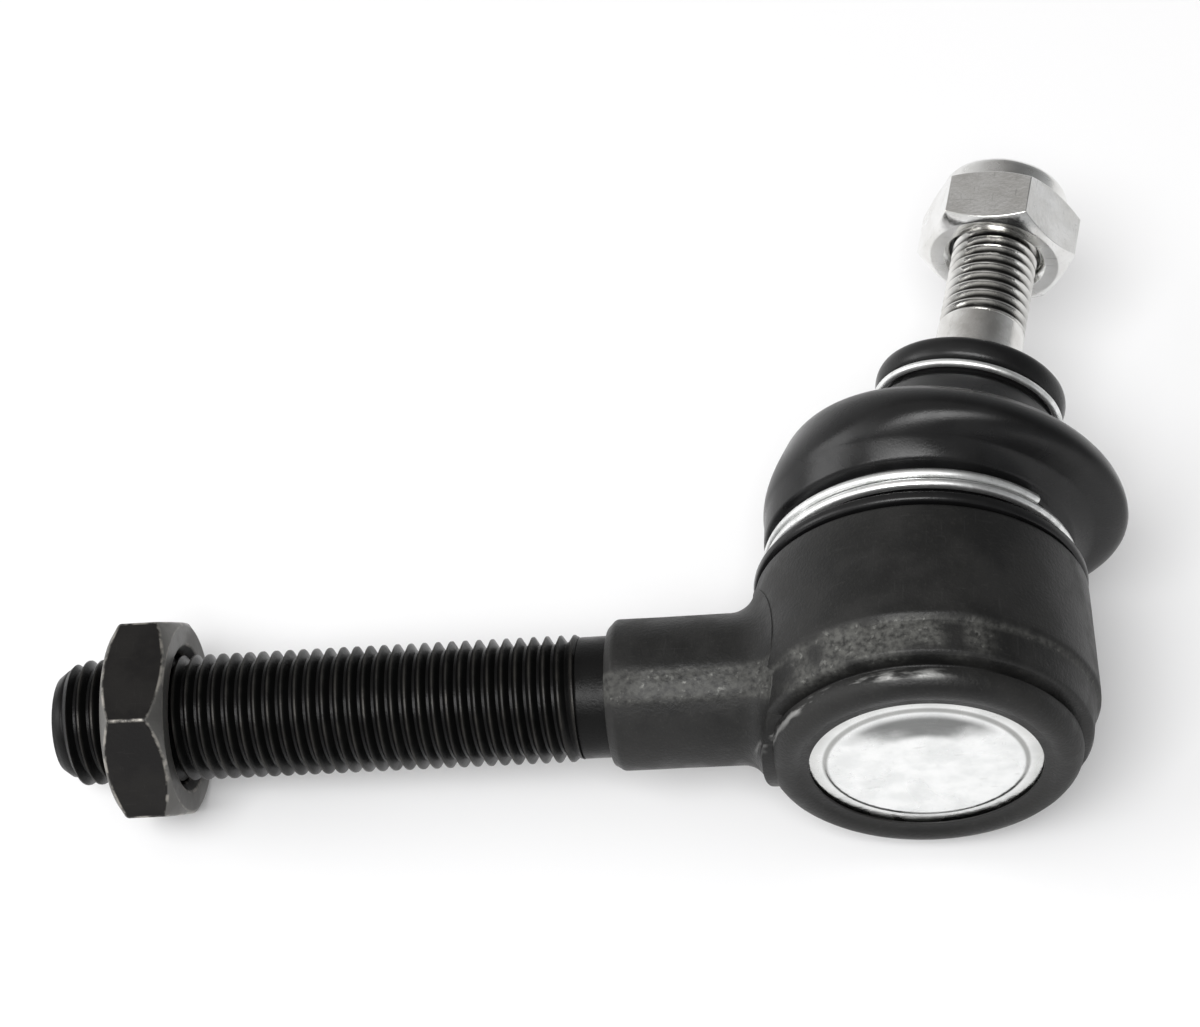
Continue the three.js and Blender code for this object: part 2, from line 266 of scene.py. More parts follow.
def piece(name, bm, place, materials, sharp_deg=34, flat_over=None):
    """A finished object at the origin: place is applied to its mesh, and edges over sharp_deg stay sharp.
    Faces of more than flat_over square millimetres are shaded flat."""
    for face in bm.faces:
        face.smooth = flat_over is None or face.calc_area() < flat_over
    bmesh.ops.transform(bm, matrix=place, verts=bm.verts)
    for edge in bm.edges:
        edge.smooth = edge.calc_face_angle(0) < math.radians(sharp_deg)
    mesh = bpy.data.meshes.new(name)
    bm.to_mesh(mesh)
    bm.free()
    for material in materials:
        mesh.materials.append(material)
    obj = bpy.data.objects.new(name, mesh)
    bpy.context.scene.collection.objects.link(obj)
    return obj


# ---- shader groups ------------------------------------------------------------------------------
def new_group(name, inputs, outputs):
    """An empty shader group. inputs are (name, kind, value) and outputs (name, kind)."""
    group = bpy.data.node_groups.new(name, "ShaderNodeTree")
    for label, kind, value in inputs:
        socket = group.interface.new_socket(label, in_out="INPUT", socket_type=kind)
        if value is not None:
            socket.default_value = value
    for label, kind in outputs:
        group.interface.new_socket(label, in_out="OUTPUT", socket_type=kind)
    return group, group.nodes.new("NodeGroupInput").outputs, group.nodes.new("NodeGroupOutput").inputs


def add(tree, kind, links=None, **values):
    """A node of that kind, with socket links by name or index and property or socket values."""
    node = tree.nodes.new(kind)
    for key, value in values.items():
        if hasattr(node, key):
            setattr(node, key, value)
        else:
            node.inputs[key.replace("_", " ")].default_value = value
    for key, source in (links or {}).items():
        tree.links.new(source, node.inputs[key])
    return node


def math_node(tree, operation, first, second, clamp=False):
    node = tree.nodes.new("ShaderNodeMath")
    node.operation = operation
    node.use_clamp = clamp
    for socket, value in zip(node.inputs, (first, second)):
        if isinstance(value, (int, float)):
            socket.default_value = value
        else:
            tree.links.new(value, socket)
    return node.outputs[0]


def spread(tree, value, low, high, to_low=0.0, to_high=1.0):
    """value from low..high stretched to to_low..to_high, smoothly and clamped."""
    node = tree.nodes.new("ShaderNodeMapRange")
    node.interpolation_type = "SMOOTHSTEP"
    tree.links.new(value, node.inputs["Value"])
    for label, number in (("From Min", low), ("From Max", high), ("To Min", to_low), ("To Max", to_high)):
        node.inputs[label].default_value = number
    return node.outputs["Result"]


def mixed(tree, share, first, second):
    """Colour between first and second, which are colours or sockets."""
    node = tree.nodes.new("ShaderNodeMix")
    node.data_type = "RGBA"
    for label, value in (("Factor", share), ("A", first), ("B", second)):
        socket = next(s for s in node.inputs if s.name == label and (s.type == "RGBA" or label == "Factor"))
        if isinstance(value, bpy.types.NodeSocket):
            tree.links.new(value, socket)
        elif label == "Factor":
            socket.default_value = value
        else:
            socket.default_value = (*value, 1)
    return next(s for s in node.outputs if s.type == "RGBA")


def grain_group():
    """Fine and coarse unevenness of a surface: a height, a slow patch mask and fine flecks."""
    group, given, out = new_group(
        "surface_grain",
        [("Vector", "NodeSocketVector", None), ("Fine Scale", "NodeSocketFloat", 3.0),
         ("Patch Scale", "NodeSocketFloat", 0.2), ("Pits", "NodeSocketFloat", 0.4)],
        [("Height", "NodeSocketFloat"), ("Patch", "NodeSocketFloat"), ("Fleck", "NodeSocketFloat")],
    )
    fine = add(group, "ShaderNodeTexNoise", {"Vector": given["Vector"], "Scale": given["Fine Scale"]},
               Detail=4.0)
    patch = add(group, "ShaderNodeTexNoise", {"Vector": given["Vector"], "Scale": given["Patch Scale"]},
                Detail=3.0, Roughness=0.6)
    cells = add(group, "ShaderNodeTexVoronoi", {"Vector": given["Vector"], "Scale": given["Fine Scale"]})
    pits = spread(group, cells.outputs["Distance"], 0.05, 0.35)
    deep = math_node(group, "MULTIPLY", math_node(group, "SUBTRACT", 1.0, pits), given["Pits"])
    group.links.new(math_node(group, "SUBTRACT", fine.outputs["Fac"], deep), out["Height"])
    group.links.new(spread(group, patch.outputs["Fac"], 0.35, 0.68), out["Patch"])
    group.links.new(spread(group, fine.outputs["Fac"], 0.56, 0.74), out["Fleck"])
    return group


def rub_group():
    """Wear on rounded edges, broken up so that it isn't an even line."""
    group, given, out = new_group(
        "edge_rub",
        [("Vector", "NodeSocketVector", None), ("Edge", "NodeSocketFloat", 0.0),
         ("Scale", "NodeSocketFloat", 1.2), ("Amount", "NodeSocketFloat", 0.6)],
        [("Mask", "NodeSocketFloat")],
    )
    worn = add(group, "ShaderNodeTexNoise", {"Vector": given["Vector"], "Scale": given["Scale"]},
               Detail=5.0)
    broken = spread(group, worn.outputs["Fac"], 0.38, 0.62)
    edge = math_node(group, "MULTIPLY", given["Edge"], broken)
    mask = math_node(group, "MULTIPLY", edge, given["Amount"], True)
    group.links.new(mask, out["Mask"])
    return group


def scuff_group():
    """Fine handling scratches in two directions, and soft smudges."""
    group, given, out = new_group(
        "handling_marks",
        [("Vector", "NodeSocketVector", None), ("Scale", "NodeSocketFloat", 1.0)],
        [("Scratch", "NodeSocketFloat"), ("Smudge", "NodeSocketFloat")],
    )
    lines = []
    for turn, stretch in ((0.5, (0.25, 5.0, 1.0)), (-0.9, (4.0, 0.3, 1.2))):
        laid = add(group, "ShaderNodeMapping", {"Vector": given["Vector"]})
        laid.inputs["Rotation"].default_value = (0.3, turn, turn)
        laid.inputs["Scale"].default_value = stretch
        line = add(group, "ShaderNodeTexNoise", {"Vector": laid.outputs[0], "Scale": given["Scale"]},
                   Detail=2.0)
        lines.append(spread(group, line.outputs["Fac"], 0.66, 0.72))
    smudge = add(group, "ShaderNodeTexNoise", {"Vector": given["Vector"]},
                 Scale=0.14, Detail=4.0, Distortion=0.6)
    group.links.new(math_node(group, "MAXIMUM", lines[0], lines[1]), out["Scratch"])
    group.links.new(spread(group, smudge.outputs["Fac"], 0.4, 0.65), out["Smudge"])
    return group


GRAIN = grain_group()
RUB = rub_group()
SCUFF = scuff_group()


# ---- materials ----------------------------------------------------------------------------------
class Finish:
    """A node material whose patterns read millimetres in the eye's or the stud's frame."""

    def __init__(self, name, place):
        self.material = bpy.data.materials.new(name)
        self.material.use_nodes = True
        self.tree = self.material.node_tree
        self.shader = self.tree.nodes["Principled BSDF"]
        where = self.tree.nodes.new("ShaderNodeTexCoord")
        self.mapping = add(self.tree, "ShaderNodeMapping", {"Vector": where.outputs["Object"]},
                           vector_type="TEXTURE")
        origin, turn, scale = place.decompose()
        self.mapping.inputs["Location"].default_value = origin
        self.mapping.inputs["Rotation"].default_value = turn.to_euler()
        self.mapping.inputs["Scale"].default_value = scale
        self.where = self.mapping.outputs[0]
        split = add(self.tree, "ShaderNodeSeparateXYZ", {"Vector": self.where})
        self.x, self.y, self.z = split.outputs

    def use(self, group, **values):
        node = self.tree.nodes.new("ShaderNodeGroup")
        node.node_tree = group
        self.tree.links.new(self.where, node.inputs["Vector"])
        for key, value in values.items():
            socket = node.inputs[key.replace("_", " ")]
            if isinstance(value, bpy.types.NodeSocket):
                self.tree.links.new(value, socket)
            else:
                socket.default_value = value
        return node.outputs

    def plain(self, **values):
        for key, value in values.items():
            self.shader.inputs[key.replace("_", " ")].default_value = value

    def drive(self, label, source):
        self.tree.links.new(source, self.shader.inputs[label])

    def bump(self, height, strength, distance=MM):
        node = add(self.tree, "ShaderNodeBump", {"Height": height}, Strength=strength, Distance=distance)
        self.drive("Normal", node.outputs["Normal"])

    def math(self, operation, first, second, clamp=False):
        return math_node(self.tree, operation, first, second, clamp)

    def distance(self, first, second):
        """How far a point is from the axis that both coordinates are measured from."""
        squares = [self.math("POWER", value, 2.0) for value in (first, second)]
        return self.math("SQRT", self.math("ADD", *squares), 0.0)

    def spread(self, value, low, high, to_low=0.0, to_high=1.0):
        return spread(self.tree, value, low, high, to_low, to_high)

    def mixed(self, share, first, second):
        return mixed(self.tree, share, first, second)

    def noise(self, scale, detail=3.0, vector=None):
        node = add(self.tree, "ShaderNodeTexNoise", {"Vector": vector or self.where},
                   Scale=scale, Detail=detail)
        return node.outputs["Fac"]

    def attribute(self, name):
        return add(self.tree, "ShaderNodeAttribute", attribute_name=name).outputs["Fac"]

    def band(self, value, low, high, soft):
        """1 between low and high, falling to 0 over soft on both sides."""
        return self.math("MULTIPLY", self.spread(value, low - soft, low + soft),
                         self.spread(value, high - soft, high + soft, 1.0, 0.0))


def black_forging():
    finish = Finish("black_forging", EYE)
    grain = finish.use(GRAIN, Fine_Scale=2.6, Patch_Scale=0.16, Pits=0.35)
    marks = finish.use(SCUFF, Scale=0.9)
    base = finish.mixed(grain["Patch"], (0.009, 0.009, 0.0088), (0.0155, 0.0152, 0.0147))
    base = finish.mixed(finish.math("MULTIPLY", grain["Fleck"], 0.25), base, (0.034, 0.033, 0.030))
    rough = finish.spread(grain["Patch"], 0.0, 1.0, 0.4, 0.55)
    # trimmed flash along the die line, rougher and greyer than the rest, with torn bright specks
    land = finish.attribute("flash_land")
    torn = finish.math("MULTIPLY", land, finish.spread(finish.noise(1.7, 6.0), 0.22, 0.72))
    specks = finish.math("MULTIPLY", land, finish.spread(finish.noise(1.3, 6.0), 0.58, 0.74))
    base = finish.mixed(finish.math("MULTIPLY", torn, 0.7), base, (0.12, 0.12, 0.112))
    base = finish.mixed(finish.math("MULTIPLY", specks, 0.6), base, (0.26, 0.26, 0.245))
    base = finish.mixed(finish.math("MULTIPLY", marks["Scratch"], 0.12), base, (0.055, 0.055, 0.054))
    # bright metallic dashes drawn out round the shoulder of the rim, on its shank side only: painted
    # highlights standing in for the light's glints there
    drawn = add(finish.tree, "ShaderNodeMapping", {"Vector": finish.where})
    drawn.inputs["Scale"].default_value = (1.0, 4.0, 1.0)
    painted_rim_glints = finish.math("MULTIPLY", finish.band(finish.y, -9.7, -8.9, 0.35),
                         finish.spread(finish.noise(0.3, 3.0, drawn.outputs[0]), 0.46, 0.66))
    painted_rim_glints = finish.math("MULTIPLY", painted_rim_glints, finish.spread(finish.x, 1.0, 5.0, 1.0, 0.0))
    base = finish.mixed(finish.math("MULTIPLY", painted_rim_glints, 0.7), base, (0.42, 0.42, 0.41))
    finish.drive("Base Color", base)
    finish.drive("Roughness", finish.math("ADD", rough, finish.math("MULTIPLY", torn, 0.12)))
    # the metal mask carries the torn flash and its specks, and the painted rim highlights
    bright = finish.math("MAXIMUM", specks, painted_rim_glints)
    bare_and_glints = finish.math("MAXIMUM", bright, finish.math("MULTIPLY", torn, 0.3))
    finish.drive("Metallic", finish.math("MULTIPLY", bare_and_glints, 0.8))
    height = finish.math("ADD", grain["Height"], finish.math("MULTIPLY", land, finish.noise(1.6, 6.0)))
    finish.bump(height, 0.09)
    finish.plain(Specular_IOR_Level=0.24)
    return finish.material


def black_thread():
    finish = Finish("black_thread", EYE)
    grain = finish.use(GRAIN, Fine_Scale=4.0, Patch_Scale=0.25, Pits=0.2)
    out = finish.distance(finish.y, finish.z)
    crest = finish.spread(out, 6.55, 6.84)
    crest = finish.math("MULTIPLY", crest, finish.spread(finish.noise(0.5, 4.0), 0.35, 0.7, 0.25, 1.0))
    base = finish.mixed(crest, (0.003, 0.003, 0.003), (0.03, 0.0285, 0.026))
    finish.drive("Base Color", base)
    finish.drive("Roughness", finish.spread(grain["Patch"], 0.0, 1.0, 0.28, 0.42))
    finish.drive("Metallic", finish.math("MULTIPLY", crest, 0.6))
    finish.bump(grain["Height"], 0.08)
    finish.plain(Specular_IOR_Level=0.14)
    return finish.material


def black_nut():
    finish = Finish("black_nut", EYE)
    grain = finish.use(GRAIN, Fine_Scale=2.2, Patch_Scale=0.22, Pits=0.5)
    marks = finish.use(SCUFF, Scale=1.2)
    rub = finish.use(RUB, Edge=finish.attribute("rubbed_edge"), Scale=0.9, Amount=0.9)
    out = finish.distance(finish.y, finish.z)
    # the turned end faces and cones, barer than the facets
    half = JAM_NUT_HEIGHT / 2
    end = finish.math("ABSOLUTE", finish.math("ADD", finish.x, -(JAM_NUT_X + half)), 0.0)
    past_face = finish.math("MAXIMUM", finish.math("SUBTRACT", out, JAM_NUT_FACE_R), 0.0)
    slope = finish.math("MULTIPLY", past_face, JAM_NUT_CHAMFER)
    turned_end = finish.spread(finish.math("ADD", end, slope), half - 0.16, half - 0.05)
    base = finish.mixed(grain["Patch"], (0.0055, 0.005, 0.005), (0.009, 0.0082, 0.0076))
    base = finish.mixed(finish.math("MULTIPLY", turned_end, 0.8), base, (0.15, 0.147, 0.14))
    base = finish.mixed(rub["Mask"], base, (0.3, 0.285, 0.26))
    base = finish.mixed(finish.math("MULTIPLY", marks["Scratch"], 0.08), base, (0.05, 0.048, 0.045))
    finish.drive("Base Color", base)
    finish.drive("Roughness", finish.spread(grain["Patch"], 0.0, 1.0, 0.36, 0.52))
    finish.drive("Metallic", finish.math("MULTIPLY", finish.math("MAXIMUM", rub["Mask"], turned_end), 0.6))
    finish.bump(grain["Height"], 0.04)
    finish.plain(Specular_IOR_Level=0.18)
    return finish.material


def black_rubber():
    finish = Finish("black_rubber", EYE)
    grain = finish.use(GRAIN, Fine_Scale=4.5, Patch_Scale=0.12, Pits=0.15)
    marks = finish.use(SCUFF, Scale=0.5)
    bloom = finish.math("MULTIPLY", marks["Smudge"], 0.55)
    base = finish.mixed(bloom, (0.005, 0.005, 0.0052), (0.0105, 0.0105, 0.0108))
    finish.drive("Base Color", base)
    finish.drive("Roughness", finish.spread(grain["Patch"], 0.0, 1.0, 0.24, 0.34))
    finish.bump(grain["Height"], 0.04)
    finish.plain(Specular_IOR_Level=0.28)
    return finish.material


def wire_zinc(name, place):
    finish = Finish(name, place)
    grain = finish.use(GRAIN, Fine_Scale=1.6, Patch_Scale=0.5, Pits=0.5)
    marks = finish.use(SCUFF, Scale=1.6)
    base = finish.mixed(grain["Patch"], (0.90, 0.905, 0.90), (0.68, 0.69, 0.68))
    base = finish.mixed(finish.math("MULTIPLY", marks["Scratch"], 0.25), base, (0.32, 0.32, 0.31))
    finish.drive("Base Color", base)
    finish.drive("Roughness", finish.spread(grain["Patch"], 0.0, 1.0, 0.32, 0.46))
    finish.plain(Metallic=0.95)
    finish.bump(grain["Height"], 0.03)
    return finish.material


def zinc_cap():
    finish = Finish("zinc_cap", EYE)
    grain = finish.use(GRAIN, Fine_Scale=1.1, Patch_Scale=0.28, Pits=0.12)
    marks = finish.use(SCUFF, Scale=1.4)
    out = finish.distance(finish.x, finish.z)
    rings = finish.math("SINE", finish.math("MULTIPLY", out, 9.0), 0.0)
    base = finish.mixed(grain["Patch"], (0.86, 0.865, 0.86), (0.74, 0.75, 0.745))
    base = finish.mixed(finish.math("MULTIPLY", marks["Scratch"], 0.3), base, (0.5, 0.5, 0.49))
    rim = finish.spread(out, 10.2, 12.0)
    blur = finish.math("MULTIPLY", finish.noise(0.3), 2.6)
    # a soft dark crescent painted inside the step on the side away from the bench, as a painted reflection
    # of something dark, and a thin dark line painted along the step as its shade
    inward = finish.math("SUBTRACT", finish.math("ADD", finish.z, blur), finish.math("MULTIPLY", out, 0.35))
    painted_dark_reflection = finish.math("MULTIPLY", finish.spread(inward, 2.6, 6.2), finish.band(out, 5.8, 9.7, 0.7))
    base = finish.mixed(finish.math("MULTIPLY", painted_dark_reflection, 0.9), base, (0.12, 0.123, 0.12))
    # painted shade: a thin dark line along the step
    painted_step_shade = finish.math("MULTIPLY", finish.band(out, 10.3, 10.8, 0.16), 0.7)
    base = finish.mixed(painted_step_shade, base, (0.2, 0.2, 0.19))
    base = finish.mixed(finish.math("MULTIPLY", rim, 0.5), base, (0.42, 0.42, 0.40))
    finish.drive("Base Color", base)
    finish.drive("Roughness", finish.spread(marks["Smudge"], 0.0, 1.0, 0.2, 0.34))
    finish.plain(Metallic=1.0)
    finish.bump(finish.math("ADD", grain["Height"], finish.math("MULTIPLY", rings, 0.05)), 0.06)
    return finish.material


def turned_steel():
    finish = Finish("turned_steel", STUD)
    grain = finish.use(GRAIN, Fine_Scale=3.0, Patch_Scale=0.3, Pits=0.2)
    marks = finish.use(SCUFF, Scale=1.5)
    out = finish.distance(finish.x, finish.z)
    # painted shade: the thread roots darkened nearly to black
    root = finish.spread(out, 4.25, 4.75, 1.0, 0.0)
    base = finish.mixed(grain["Patch"], (0.80, 0.795, 0.775), (0.66, 0.65, 0.625))
    base = finish.mixed(finish.math("MULTIPLY", root, 0.95), base, (0.04, 0.039, 0.036))
    finish.drive("Base Color", base)
    finish.drive("Roughness", finish.spread(marks["Smudge"], 0.0, 1.0, 0.13, 0.22))
    finish.plain(Metallic=0.95)
    finish.bump(grain["Height"], 0.03)
    return finish.material


def bright_zinc():
    finish = Finish("bright_zinc", STUD)
    grain = finish.use(GRAIN, Fine_Scale=2.4, Patch_Scale=0.24, Pits=0.2)
    marks = finish.use(SCUFF, Scale=1.3)
    rub = finish.use(RUB, Edge=finish.attribute("rubbed_edge"), Scale=1.0, Amount=0.8)
    base = finish.mixed(grain["Patch"], (0.86, 0.86, 0.85), (0.74, 0.735, 0.715))
    base = finish.mixed(rub["Mask"], base, (0.86, 0.86, 0.84))
    base = finish.mixed(finish.math("MULTIPLY", marks["Scratch"], 0.3), base, (0.35, 0.35, 0.34))
    finish.drive("Base Color", base)
    finish.drive("Roughness", finish.spread(marks["Smudge"], 0.0, 1.0, 0.16, 0.3))
    finish.plain(Metallic=1.0)
    finish.bump(grain["Height"], 0.015)
    return finish.material


def moulded(name, place, light, dark, roughness):
    finish = Finish(name, place)
    grain = finish.use(GRAIN, Fine_Scale=3.5, Patch_Scale=0.3, Pits=0.2)
    finish.drive("Base Color", finish.mixed(grain["Patch"], light, dark))
    finish.drive("Roughness", finish.spread(grain["Fleck"], 0.0, 1.0, roughness, roughness + 0.15))
    finish.bump(grain["Height"], 0.05)
    return finish.material


def spring_steel():
    finish = Finish("spring_steel", EYE)
    grain = finish.use(GRAIN, Fine_Scale=2.5, Patch_Scale=0.4, Pits=0.3)
    finish.drive("Base Color", finish.mixed(grain["Patch"], (0.20, 0.21, 0.22), (0.12, 0.115, 0.11)))
    finish.drive("Roughness", finish.spread(grain["Patch"], 0.0, 1.0, 0.3, 0.48))
    finish.plain(Metallic=0.9)
    finish.bump(grain["Height"], 0.1)
    return finish.material


# ---- housing ------------------------------------------------------------------------------------
def eye_radius(y):
    """Outside radius of the eye's body at height y, above and below the die line."""
    if y > PARTING_Y:
        return EYE_R - 0.04 * max(y, 0)
    return BELOW_PARTING_R + 0.14 * (y - PARTING_Y)


def forged_eye():
    bm = turned([
        (12.2, -10.25),
        (12.25, -10.42, 0.08),
        *arc(14.35, -8.85, 2.05, -128, 8, 16),
        (15.3, -8.1, 0.1),
        (15.5, -7.75, 0.1),
        (17.35, -7.55, 0.35),
        *rows((17.5, -7.2), (17.95, -4.1), 7),
        (18.0, -3.95, 0.1),
        (18.5, -3.35, 0.25),
        *rows((18.5, -2.6), (18.0, 9.6), 9),
        (17.95, 10.5, 0.6),
        (14.2, 10.5, 0.3),
        (14.2, 16.2),
        (15.0, 16.6, 0.2),
        (15.0, 17.5, 0.35),
        (13.7, 17.5, 0.2),
        (8.9, 8.6, 0.2),
        (8.9, 7.9),
        (9.8, 7.9),
        (12.3, 5.15),
        (12.3, -8.1),
        (13.6, -8.1),
        (13.6, -10.25),
    ], EYE_SEGMENTS, closed=True)
    land = bm.verts.layers.float.new("flash_land")
    for vert in bm.verts:
        x, y, z = vert.co
        radius = math.hypot(x, z)
        if radius < 15.6 or y > 10:
            continue
        uneven = noise.fractal(vert.co * 0.12, 1.0, 2.0, 3) * 0.06
        side = smooth(abs(z), 9, 13) if z > 0 else smooth(-z, 9, 13) * 0.8
        patch = side * smooth(x, -16, -12.5) * smooth(-x, -9, -5)
        patch *= smooth(y, -8.2, -7.2) * smooth(-y, 3.3, 3.9)
        patch *= smooth(noise.noise(vert.co * 0.33), -0.5, 0.1)
        ring = smooth(y, -4.6, -4.1) * smooth(-y, 3.5, 3.9) * 0.45
        vert[land] = max(patch, ring)
        rough = noise.fractal(vert.co * 1.1, 0.8, 2.0, 4) * 0.11 * patch
        share = 1 + (uneven + rough) / radius
        vert.co.x, vert.co.z = x * share, z * share
    return bm


def forged_neck():
    """The neck about X from its start face, flared with a fillet onto the eye's round side."""
    fillet = 2.4
    flare_rows = 9
    marker = 100
    profile = [(0, NECK_START), (NECK_R - 0.9, NECK_START, 0.15), (NECK_R, NECK_START + 0.9, 0.3)]
    profile += [(NECK_R, height) for height in [NECK_START + 1.6 + 0.75 * i for i in range(14)]]
    profile += [(NECK_R, marker + i) for i in range(flare_rows + 2)]
    profile += [(0, marker + flare_rows + 1)]
    bm = turned(profile, 120)
    bmesh.ops.transform(bm, matrix=ALONG_X, verts=bm.verts)
    land = bm.verts.layers.float.new("flash_land")
    for vert in bm.verts:
        x, y, z = vert.co
        radius = math.hypot(y, z)
        if radius < 1:
            if x > 0:
                vert.co.x = -14.0
            continue
        up, out = y / radius, z / radius
        below = smooth(-up, 0.20, 0.27)
        drop = 0.22 * below if radius > NECK_R - 0.6 else 0
        strip = smooth(-up, 0.20, 0.27) * smooth(up, -0.66, -0.56) * smooth(abs(out), 0.5, 0.8)
        reach = radius - drop
        if x > 0:
            step = min(x - marker, flare_rows)
            turn = math.pi / 2 * step / flare_rows
            reach = NECK_R - drop + fillet * (1 - math.cos(turn))
            level = min(up * reach, 9.5)
            wall = eye_radius(level)
            x = -math.sqrt(max(wall * wall - (out * reach) ** 2, 0)) - fillet * (1 - math.sin(turn))
            if step < vert.co.x - marker:
                x += 1.6
        place = Vector((x, up * reach, out * reach))
        reach += strip * (0.10 + 0.13 * noise.fractal(place * 0.9, 0.8, 2.0, 4))
        reach += 0.05 * noise.fractal(place * 0.14, 1.0, 2.0, 3)
        vert[land] = strip * 0.65
        vert.co = (x, up * reach, out * reach)
    return bm


def housing():
    relief = turned([
        (0, RELIEF_START - 1.0),
        (SHANK_CREST_R - 0.75, RELIEF_START - 1.0),
        (SHANK_CREST_R - 0.3, RELIEF_START + 0.2, 0.1),
        (SHANK_CREST_R - 0.3, NECK_START + 0.5),
        (0, NECK_START + 0.5),
    ], 64)
    shank = thread(
        SHANK_END, RELIEF_START, SHANK_CREST_R, SHANK_ROOT_R, SHANK_PITCH,
        (SHANK_END, 1.6, 2.2), (RELIEF_START - 1.8, RELIEF_START),
    )
    for bm in (relief, shank):
        bmesh.ops.transform(bm, matrix=ALONG_X, verts=bm.verts)
    whole = gathered([(forged_eye(), 0), (forged_neck(), 0), (relief, 1), (shank, 1)])
    obj = piece("forged_housing", whole, EYE, [black_forging(), black_thread()])
    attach(obj, "eye")
    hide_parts("housing")


# ---- end cap and wires --------------------------------------------------------------------------
def end_cap():
    bm = turned([
        (0, -10.55),
        *rows((1.2, -10.545), (9.2, -10.36), 8),
        (10.2, -10.3, 0.35),
        (10.75, -10.0, 0.18),
        (CAP_R - 0.3, -10.0, 0.1),
        (CAP_R, -9.7, 0.1),
        (CAP_R, -8.4, 0.1),
        (0, -8.4),
    ], 96)
    for vert in bm.verts:
        if vert.co.y < -10.1:
            vert.co.y += 0.05 * noise.noise(vert.co * 0.16 + Vector((3, 0, 7)))
    obj = piece("pressed_end_cap", bm, EYE, [zinc_cap()])
    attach(obj, "eye")
    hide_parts("end_cap")


def wire_coil(radius, wire_r, pitch, turns, start_deg, per_turn=120):
    """Round wire wound about Y, its ends closed and slightly rounded."""
    bm = bmesh.new()
    bmesh.ops.create_circle(bm, cap_ends=False, segments=14, radius=wire_r)
    bmesh.ops.translate(bm, verts=bm.verts, vec=(radius, 0, 0))
    steps = round(turns * per_turn)
    bmesh.ops.spin(
        bm, geom=bm.verts[:] + bm.edges[:], cent=(0, 0, 0), axis=(0, 1, 0),
        dvec=(0, pitch / per_turn, 0), angle=math.tau * steps / per_turn, steps=steps,
    )
    capped = bmesh.ops.holes_fill(bm, edges=[edge for edge in bm.edges if edge.is_boundary])["faces"]
    bmesh.ops.recalc_face_normals(bm, faces=bm.faces)
    rim = [edge for face in capped for edge in face.edges]
    bmesh.ops.bevel(
        bm, geom=rim, offset=wire_r * 0.3, offset_type="OFFSET", affect="EDGES",
        segments=2, profile=0.5, material=-1,
    )
    turn = Matrix.Rotation(math.radians(start_deg), 3, "Y")
    bmesh.ops.rotate(bm, verts=bm.verts, cent=(0, 0, 0), matrix=turn)
    return bm


def boot_wires():
    large = wire_coil(LARGE_RING_R, LARGE_WIRE_R, LARGE_RING_PITCH, turns=1.8, start_deg=34.0)
    bmesh.ops.translate(large, verts=large.verts, vec=(0, LARGE_RING_Y, 0))
    obj = piece("boot_wire_large", large, EYE, [wire_zinc("wire_zinc_large", EYE)])
    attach(obj, "eye")
    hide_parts("boot_large_ring")

    small = wire_coil(SMALL_RING_R, SMALL_WIRE_R, 0.0, turns=0.985, start_deg=99.0)
    bmesh.ops.translate(small, verts=small.verts, vec=(0, SMALL_RING_S, 0))
    obj = piece("boot_wire_small", small, STUD, [wire_zinc("wire_zinc_small", STUD)])
    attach(obj, "boot_lip")
    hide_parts("boot_small_ring")


# ---- boot ---------------------------------------------------------------------------------------
LEAN_START = 14.5
LEAN_END = 21.5
SEAM_OUT = (18.47, 23.04)
SEAM_IN = (17.44, 22.1)


def leaned(bm):
    """Leans a boot turned straight about the ball centre: the cuff stays and the lip follows the stud."""
    for vert in bm.verts:
        vert.co = lean_turn(smooth(vert.co.y, LEAN_START, LEAN_END)) @ vert.co
        vert.co.y += BALL_Y
    return bm


def boot():
    rubber = black_rubber()
    lower = turned([
        (14.5, 8.8, 0.2),
        (18.0, 8.8, 0.5),
        (18.05, 9.9, 0.2),
        (16.6, 10.1, 0.3),
        (15.65, 10.4, 0.3),
        (15.65, 14.4, 0.3),
        (16.9, 15.0, 0.3),
        *arc(14.7, 20.4, 4.6, -48, 30, 12),
        SEAM_OUT,
        SEAM_IN,
        *arc(14.5, 20.4, 3.4, 24, -45, 8),
        (15.3, 14.9, 0.2),
        (15.3, 14.1),
        (14.5, 13.7),
    ], 128, closed=True)
    obj = piece("boot_lower", leaned(lower), EYE, [rubber], sharp_deg=48)
    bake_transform(obj)
    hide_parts("dust_boot")

    upper = turned([
        SEAM_OUT,
        *arc(14.7, 20.4, 4.6, 40, 56, 3),
        (15.6, 24.6, 0.8),
        (13.4, 25.3, 1.0),
        (11.7, 27.2, 1.4),
        (10.3, 30.6, 0.3),
        (9.7, 31.4, 0.15),
        (9.7, 32.7, 0.15),
        (10.4, 33.2, 0.3),
        (10.75, 34.3, 0.5),
        (10.5, 35.7, 0.7),
        (5.6, 35.6, 0.2),
        (5.6, 30.6, 0.2),
        (8.3, 29.2, 0.6),
        (12.4, 24.5, 0.6),
        (14.3, 23.5, 0.4),
        *arc(14.5, 20.4, 3.4, 50, 38, 2),
        SEAM_IN,
    ], 128, closed=True)
    obj = piece("boot_upper", leaned(upper), EYE, [rubber], sharp_deg=48)
    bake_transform(obj)
    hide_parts("dust_boot")


